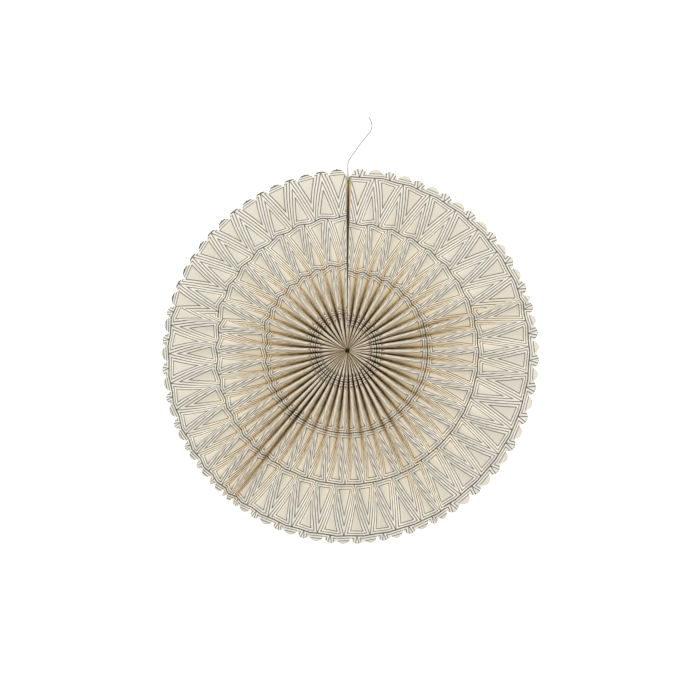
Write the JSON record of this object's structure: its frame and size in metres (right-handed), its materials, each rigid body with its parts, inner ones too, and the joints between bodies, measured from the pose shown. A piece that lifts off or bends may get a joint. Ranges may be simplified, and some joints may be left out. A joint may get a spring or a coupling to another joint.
{
  "type": "paper fan rosette",
  "caption": "Round wall or window decoration of pleated paper sheets joined into a full circle, with a scalloped rim, a laced hub and a short cotton thread to hang it by.",
  "frame": {"origin": "on the axis of the disc, on the plane that its valley folds lie on", "axes": "+Z along the disc's axis, out of its printed front; +Y from the hub to the closing seam, where the hanging thread leaves the rim; +X to the right seen from the front"},
  "size_m": [0.4199, 0.4808, 0.0173],
  "materials": {
    "printed_paper": "matt uncoated paper, printed with fine dark lines",
    "lacing_cotton": "matt twisted cotton",
    "thread_cotton": "matt twisted cotton"
  },
  "bodies": {
    "root": {"pleated_sheet_1": "printed_paper", "pleated_sheet_2": "printed_paper", "pleated_sheet_3": "printed_paper", "pleated_sheet_4": "printed_paper", "pleated_sheet_5": "printed_paper", "hub_lacing": "lacing_cotton", "hanging_thread": "thread_cotton"}
  },
  "joints": []
}
